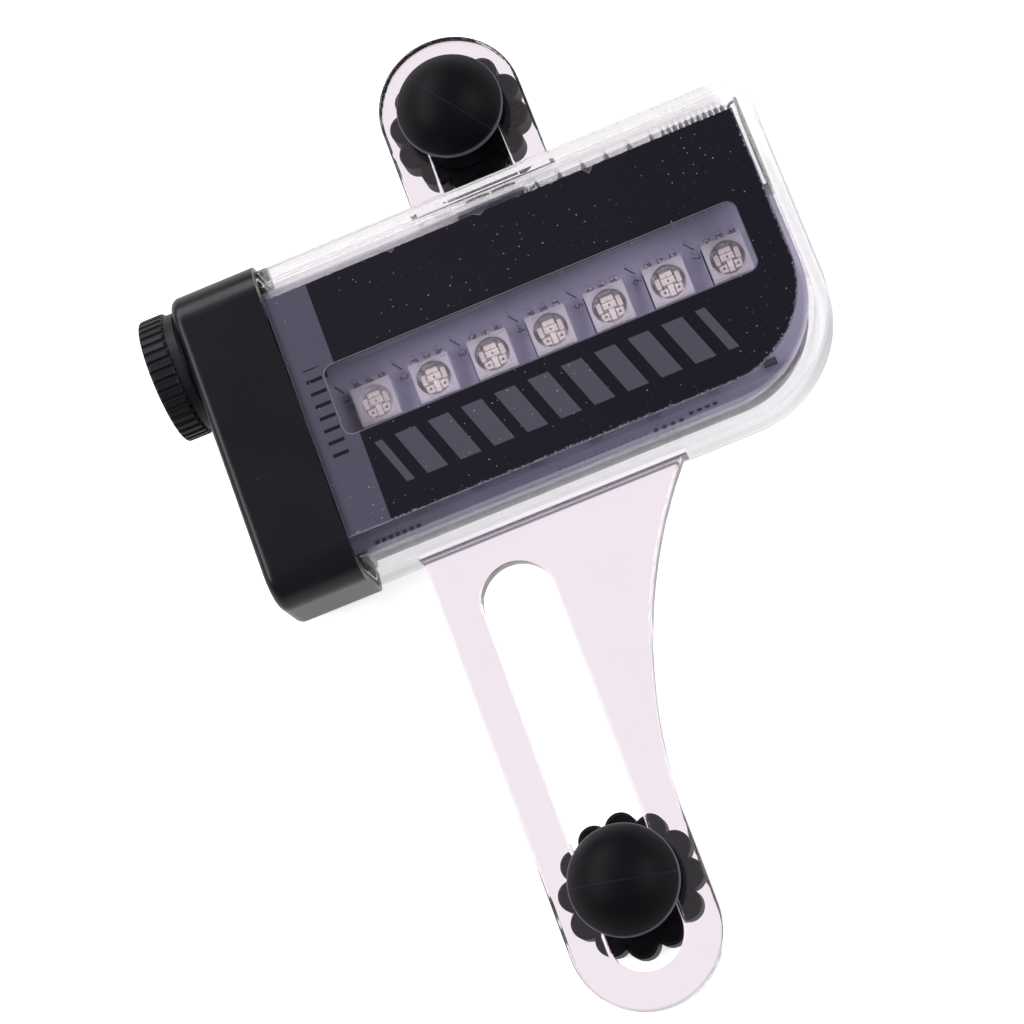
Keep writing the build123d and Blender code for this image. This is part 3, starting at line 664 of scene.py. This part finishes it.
def wire(points, radius):
    """A round wire along a smooth curve through the points, as a mesh."""
    start()
    bpy.ops.curve.primitive_nurbs_path_add()
    curve = bpy.context.object
    data = curve.data
    data.splines.clear()
    spline = data.splines.new("NURBS")
    spline.points.add(len(points) - 1)
    for point, place in zip(spline.points, points):
        point.co = (*place, 1)
    spline.order_u = 4
    spline.use_endpoint_u = True
    spline.resolution_u = 3
    data.dimensions = "3D"
    data.bevel_depth = radius
    data.bevel_resolution = 1
    data.use_fill_caps = True
    return as_mesh(curve)


def copied(piece, name, matrix):
    """A copy with its own mesh, which the matrix moves."""
    twin = piece.copy()
    twin.data = piece.data.copy()
    twin.name = name
    twin.data.name = name
    bpy.context.scene.collection.objects.link(twin)
    twin.data.transform(matrix)
    return twin


def turned_to(side):
    """No turn for the front, and half a turn about X for the rear."""
    return Matrix.Identity(4) if side == 1 else Matrix.Rotation(math.pi, 4, "X")


# Settings in the sidebar

def colour_setting(name, description, default):
    return bpy.props.FloatVectorProperty(
        name=name, description=description, default=default, subtype="COLOR", min=0, max=1
    )


def length_setting(name, description, default):
    return bpy.props.FloatProperty(
        name=name, description=description, default=default, unit="LENGTH", min=0, precision=5
    )


class WheelLightLooks(bpy.types.PropertyGroup):
    """Colours and print sizes."""

    case_tint: colour_setting("Case tint", "Tint of the clear moulding", tint(246, 236, 244))
    cap_black: colour_setting("Cap black", "Colour of both caps", tint(15, 12, 20))
    clamp_black: colour_setting("Clamp black", "Colour of the clamps", tint(9, 7, 13))
    board_colour: colour_setting("Board", "Colour of the lamp board", tint(178, 175, 204))
    lamp_colour: colour_setting("Lamp body", "Colour of the lamps' bodies", tint(194, 188, 206))
    film_black: colour_setting("Film", "Colour of the labels", tint(17, 13, 26))
    band_grey: colour_setting("Band", "Colour of the label's end band", tint(76, 73, 90))
    bar_grey: colour_setting("Bars", "Colour of the printed bars", tint(74, 70, 84))
    band_width: length_setting("Band width", "Width of the label's end band", 5.5 * mm)
    bar_pitch: length_setting("Bar pitch", "Distance from one printed bar to the next", 4.2 * mm)


class WheelLightSizes(bpy.types.PropertyGroup):
    """Sizes of the fine pieces."""

    spring_wire: length_setting("Spring wire", "Diameter of the spring's wire", 0.36 * mm)
    spring_radius: length_setting("Spring radius", "Radius of the spring's coils", 5.18 * mm)
    chip_width: length_setting("Chip width", "Width of a lamp's light chip", 0.26 * mm)
    bond_wire: length_setting("Bond wire", "Diameter of a lamp's bond wires", 0.05 * mm)
    ink: length_setting("Ink", "Thickness of the board's print", 0.02 * mm)


class WheelLightStage(bpy.types.PropertyGroup):
    """Camera and light."""

    lens: bpy.props.FloatProperty(
        name="Lens", description="Focal length", default=111.869, unit="CAMERA"
    )
    camera_place: bpy.props.FloatVectorProperty(
        name="Camera place", description="Where the camera stands", subtype="TRANSLATION",
        default=(0.028024, -0.095284, 0.368676), unit="LENGTH", precision=5,
    )
    camera_turn: bpy.props.FloatVectorProperty(
        name="Camera turn", description="The camera's turn about Z, X and Y", subtype="EULER",
        default=(0.2596606, 0.0916701, -0.3612606), unit="ROTATION",
    )
    sky: bpy.props.FloatProperty(
        name="Sky", description="Strength of the sky", default=0.24, min=0
    )
    lamp: bpy.props.FloatProperty(
        name="Lamp", description="Power of each lamp", default=4.8, unit="POWER", min=0
    )


# Operators

class OBJECT_OT_wheel_light_cad_finishes(bpy.types.Operator):
    """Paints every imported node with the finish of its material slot"""

    bl_idname = "object.wheel_light_cad_finishes"
    bl_label = "Paint the packed pieces"

    def execute(self, context):
        make_finishes(context.scene.wheel_light_looks)
        for row in frame["record"]["subparts"]:
            wear(nodes[row["node"]], row["material_slot"])
        wear(nodes["screw_cap"], "knob_black")
        for side_name in sides:
            wear(nodes[f"{side_name}_led_terminals"], "terminal_metal")
        for name in nodes:
            only(nodes[name])
            bpy.ops.object.shade_smooth_by_angle(angle=math.radians(32))
        return {"FINISHED"}


class OBJECT_OT_wheel_light_spring(bpy.types.Operator):
    """Winds the battery spring, close at the plate and open at the cell"""

    bl_idname = "object.wheel_light_spring"
    bl_label = "Wind the battery spring"

    def execute(self, context):
        sizes = context.scene.wheel_light_sizes
        low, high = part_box("battery_spring")
        middle = node_middle("battery_spring")
        radius = sizes.spring_radius
        open_turns, change_turns, close_turns = 5, 1, 11
        close_pitch, change_pitch = 0.76 * mm, 1.5 * mm
        both_tails = 1.8 * mm  # along X
        tail = ((0.02 * mm, 0.6 * mm), (0.5 * mm, 0.45 * mm))  # from the end, from the middle's Z
        steps_per_turn = 12
        swell = 1.023  # the curve runs a little inside its points

        reach = high.x - low.x - both_tails
        open_reach = reach - close_turns * close_pitch - change_turns * change_pitch
        pitches = [open_reach / open_turns] * open_turns
        pitches += [change_pitch] * change_turns + [close_pitch] * close_turns
        tail_y = middle.y + radius
        points = [Vector((low.x + along, tail_y, middle.z - off)) for along, off in tail]
        x = low.x + both_tails / 2
        for pitch in pitches:
            for step in range(steps_per_turn):
                angle = 2 * math.pi * step / steps_per_turn
                out = Vector((0, math.cos(angle), math.sin(angle))) * radius * swell
                points.append(Vector((x, middle.y, middle.z)) + out)
                x += pitch / steps_per_turn
        points.append(Vector((x, tail_y, middle.z)))
        points += [Vector((high.x - along, tail_y, middle.z + off)) for along, off in tail[::-1]]

        coil = wire(points, sizes.spring_wire / 2)
        coil = settle(coil, "spring_coil", None, "spring_wire")
        bpy.ops.object.shade_smooth()
        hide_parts("battery_spring")
        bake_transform(coil)
        return {"FINISHED"}


class OBJECT_OT_wheel_light_lamps(bpy.types.Operator):
    """Puts a lead frame, chips and bond wires in every lamp"""

    bl_idname = "object.wheel_light_lamps"
    bl_label = "Fill the lamps"

    def lead_frame(self):
        """One lamp's plates, with the lamp's middle at the origin and its floor on Z 0."""
        thick, rise, edge = 0.08 * mm, 0.05 * mm, 0.02 * mm
        return joined([
            block((x * mm, y * mm, rise), (width * mm, depth * mm, thick), edge)
            for x, y, width, depth in lamp_plates
        ])

    def chips_and_wires(self, sizes):
        """One lamp's chips and bond wires, placed like its plates."""
        thick, rise, edge = 0.1 * mm, 0.14 * mm, 0.02 * mm
        chips = []
        wires = []
        for x, y, end_x, end_y in lamp_chips:
            size = (sizes.chip_width, sizes.chip_width, thick)
            chips.append(block((x * mm, y * mm, rise), size, edge))
            arc = [
                Vector((x + (end_x - x) * share, y + (end_y - y) * share, height)) * mm
                for share, height in wire_arc
            ]
            wires.append(wire(arc, sizes.bond_wire / 2))
        return joined(chips), joined(wires)

    def execute(self, context):
        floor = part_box("front_led_1")[1].z - cup_depth - middle_z
        places = [node_middle(f"front_led_{n}") for n in range(1, lamp_count + 1)]
        plates = self.lead_frame()
        chips, wires = self.chips_and_wires(context.scene.wheel_light_sizes)
        groups = (
            (plates, "lamp_lead_frame", "lead_frame", "nickel_contact"),
            (chips, "lamp_chips", "chip_epoxy", "chip_epoxy"),
            (wires, "lamp_bond_wires", "nickel_contact", "nickel_contact"),
        )
        for piece, name, finish, slot in groups:
            for side_name, side in sides.items():
                for number, place in enumerate(places, start=1):
                    move = Matrix.Translation((place.x, place.y, middle_z + side * floor))
                    move = move @ turned_to(side)
                    twin = copied(piece, f"{side_name}_{name}_{number}", move)
                    wear(twin, finish)
                    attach(twin, "housing")
            bpy.data.objects.remove(piece)
        return {"FINISHED"}


class OBJECT_OT_wheel_light_board_print(bpy.types.Operator):
    """Prints numerals, lines and dashes beside the lamps and dashes along the edge, both sides"""

    bl_idname = "object.wheel_light_board_print"
    bl_label = "Print the board"

    def numeral(self, number, place):
        """A printed numeral as a flat mesh, with its top towards +X."""
        start()
        bpy.ops.object.text_add(location=place, rotation=(0, 0, -math.pi / 2))
        text = bpy.context.object
        text.data.body = str(number)
        text.data.size = 1.5 * mm
        text.data.align_x = "CENTER"
        text.data.align_y = "CENTER"
        text.data.extrude = 0.005 * mm
        return as_mesh(text)

    def stroke(self, place, width, height, ink):
        """A flat rectangle of ink."""
        return block(place, (width, height, ink), 0.002 * mm)

    def marks(self, top, ink):
        """Every mark of the front, with Z measured from the parting plane."""
        marks = []
        for number in range(1, lamp_count + 1):
            place = node_middle(f"front_led_{number}")
            left, y = place.x - 2.66 * mm, place.y
            marks.append(self.numeral(number, (left - 0.85 * mm, y + 1.9 * mm, top)))
            marks.append(self.stroke((left, y - 0.3 * mm, top), 0.16 * mm, 5.6 * mm, ink))
            dash_place = (left - 1.2 * mm, y + 3.55 * mm, top)
            dash = self.stroke(dash_place, 1.5 * mm, 0.2 * mm, ink)
            dash.rotation_euler.z = -0.9
            marks.append(dash)
        for start_x, end_x, y, count, width, height in board_dashes:
            for k in range(count):
                x = (start_x + (end_x - start_x) * k / (count - 1)) * mm
                marks.append(self.stroke((x, y * mm, top), width * mm, height * mm, ink))
        return marks

    def execute(self, context):
        ink = context.scene.wheel_light_sizes.ink
        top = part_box("led_board")[1].z - middle_z + ink / 2
        for side_name, side in sides.items():
            marks = self.marks(top, ink)
            for mark in marks:
                place_in_mesh(mark)
            printed = joined(marks)
            turn = turned_to(side)
            if side == -1:
                turn = Matrix.Translation((0, 2 * node_middle("front_led_1").y, 0)) @ turn
            printed.data.transform(Matrix.Translation((0, 0, middle_z)) @ turn)
            settle(printed, f"{side_name}_board_print", "housing", "board_ink")
        return {"FINISHED"}


class OBJECT_OT_wheel_light_cell_wrap(bpy.types.Operator):
    """Wraps the cell in its thin sleeve"""

    bl_idname = "object.wheel_light_cell_wrap"
    bl_label = "Wrap the cell"

    def execute(self, context):
        low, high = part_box("battery_cell")
        middle = node_middle("battery_cell")
        radius, wall = 5.27 * mm, 0.04 * mm
        bare_ends = 1.9 * mm
        turned_in = (1.012, 0.93, 0.93)  # the inner skin's scales along the cell and across it
        start()
        bpy.ops.mesh.primitive_cylinder_add(
            vertices=64, radius=radius, depth=high.x - low.x - bare_ends, end_fill_type="NOTHING",
            location=(middle.x + 0.5 * mm, middle.y, middle.z), rotation=(0, math.pi / 2, 0),
        )
        sleeve = bpy.context.object
        place_in_mesh(sleeve)
        bpy.ops.object.mode_set(mode="EDIT")
        bpy.ops.mesh.select_all(action="SELECT")
        bpy.ops.mesh.extrude_region_move()
        bpy.ops.transform.resize(value=turned_in, center_override=tuple(middle))
        bpy.ops.object.mode_set(mode="OBJECT")
        sleeve.modifiers.new("wall", "SOLIDIFY").thickness = wall
        bpy.ops.object.modifier_apply(modifier="wall")
        # The extrusion's faces come in another order on each run
        bpy.ops.object.mode_set(mode="EDIT")
        bpy.ops.mesh.select_all(action="SELECT")
        bpy.ops.mesh.sort_elements(type="CURSOR_DISTANCE", elements={"FACE"})
        bpy.ops.object.mode_set(mode="OBJECT")
        settle(sleeve, "cell_sleeve", "battery", "cell_wrap")
        bpy.ops.object.shade_smooth_by_angle(angle=math.radians(40))
        return {"FINISHED"}


class OBJECT_OT_wheel_light_stage(bpy.types.Operator):
    """Adds the floor, the sky, the lamps and the camera"""

    bl_idname = "object.wheel_light_stage"
    bl_label = "Set the stage"

    def floor(self):
        """A white floor just under the light, which looks plain white through clear pieces."""
        start()
        bpy.ops.mesh.primitive_plane_add(size=floor_side, location=(0, 0, floor_z))
        floor = bpy.context.object
        floor.name = "floor"
        f = Finish("floor_white")
        white = (1, 1, 1, 1)
        path = f.node("ShaderNodeLightPath")
        outputs = path.socket.node.outputs
        seen = Value(f, outputs["Is Camera Ray"])
        through = Value(f, outputs["Is Glossy Ray"]) + Value(f, outputs["Is Transmission Ray"])
        lit = f.node("ShaderNodeBsdfDiffuse", {}, {"Color": (0.86, 0.86, 0.86, 1)})
        glow = f.node("ShaderNodeEmission", {}, {"Color": white, "Strength": seen * 0.68})
        plain_white = f.node("ShaderNodeEmission", {}, {"Color": white, "Strength": 1.0})
        both = f.node("ShaderNodeAddShader", {}, [lit, glow])
        shown = f.node("ShaderNodeMixShader", {}, [through.at_most(1), both, plain_white])
        f.node("ShaderNodeOutputMaterial", {}, [shown])
        floor.data.materials.append(f.material)

    def sky(self, strength):
        """A dim sky that looks near white through the clear plastic."""
        world = bpy.data.worlds.new("sky")
        world.use_nodes = True
        tree = world.node_tree
        background = tree.nodes["Background"]
        background.inputs["Color"].default_value = (1, 1, 1, 1)
        path = tree.nodes.new("ShaderNodeLightPath")
        level = tree.nodes.new("ShaderNodeMapRange")
        level.inputs["To Min"].default_value = strength
        level.inputs["To Max"].default_value = 0.85
        tree.links.new(path.outputs["Is Transmission Ray"], level.inputs["Value"])
        tree.links.new(level.outputs["Result"], background.inputs["Strength"])
        bpy.context.scene.world = world

    def soft_lamp(self, name, place, size, power):
        """A lamp with a broad face that looks at the origin."""
        start()
        bpy.ops.object.light_add(type="AREA", location=place)
        lamp = bpy.context.object
        lamp.name = name
        lamp.data.shape = "RECTANGLE"
        lamp.data.size, lamp.data.size_y = size
        lamp.data.energy = power
        lamp.rotation_euler = (-Vector(place)).to_track_quat("-Z", "Y").to_euler()

    def camera(self, stage):
        """The camera, where the photo was taken from."""
        start()
        bpy.ops.object.camera_add(location=stage.camera_place)
        camera = bpy.context.object
        camera.rotation_mode = "ZXY"
        camera.rotation_euler = Euler(stage.camera_turn, "ZXY")
        camera.data.lens = stage.lens
        camera.data.sensor_width = 36
        camera.data.clip_start = 0.01
        bpy.context.scene.camera = camera

    def execute(self, context):
        stage = context.scene.wheel_light_stage
        self.floor()
        self.sky(stage.sky)
        for name, (place, size) in stage_lamps.items():
            self.soft_lamp(name, place, size, stage.lamp)
        self.camera(stage)
        context.scene.view_settings.view_transform = "Standard"
        return {"FINISHED"}


class VIEW3D_PT_wheel_light(bpy.types.Panel):
    """Settings and steps of the wheel light"""

    bl_label = "Spoke wheel light"
    bl_space_type = "VIEW_3D"
    bl_region_type = "UI"
    bl_category = "Wheel light"

    def draw(self, context):
        layout = self.layout
        for group in property_groups:
            settings = getattr(context.scene, group)
            for key in settings.bl_rna.properties.keys():
                if key not in ("name", "rna_type"):
                    layout.prop(settings, key)
        for step in steps:
            layout.operator(step.bl_idname)


steps = (
    OBJECT_OT_wheel_light_cad_finishes,
    OBJECT_OT_wheel_light_spring,
    OBJECT_OT_wheel_light_lamps,
    OBJECT_OT_wheel_light_board_print,
    OBJECT_OT_wheel_light_cell_wrap,
    OBJECT_OT_wheel_light_stage,
)
property_groups = {
    "wheel_light_looks": WheelLightLooks,
    "wheel_light_sizes": WheelLightSizes,
    "wheel_light_stage": WheelLightStage,
}


def register():
    for group in property_groups.values():
        bpy.utils.register_class(group)
    for key, group in property_groups.items():
        setattr(bpy.types.Scene, key, bpy.props.PointerProperty(type=group))
    for step in steps:
        bpy.utils.register_class(step)
    bpy.utils.register_class(VIEW3D_PT_wheel_light)


def unregister():
    bpy.utils.unregister_class(VIEW3D_PT_wheel_light)
    for step in reversed(steps):
        bpy.utils.unregister_class(step)
    for key in property_groups:
        delattr(bpy.types.Scene, key)
    for group in reversed(list(property_groups.values())):
        bpy.utils.unregister_class(group)


def main():
    """Makes the whole scene."""
    register()
    bpy.ops.object.wheel_light_cad_finishes()
    bpy.ops.object.wheel_light_spring()
    bpy.ops.object.wheel_light_lamps()
    bpy.ops.object.wheel_light_board_print()
    bpy.ops.object.wheel_light_cell_wrap()
    bpy.ops.object.wheel_light_stage()
    start()


if __name__ == "__main__":
    main()
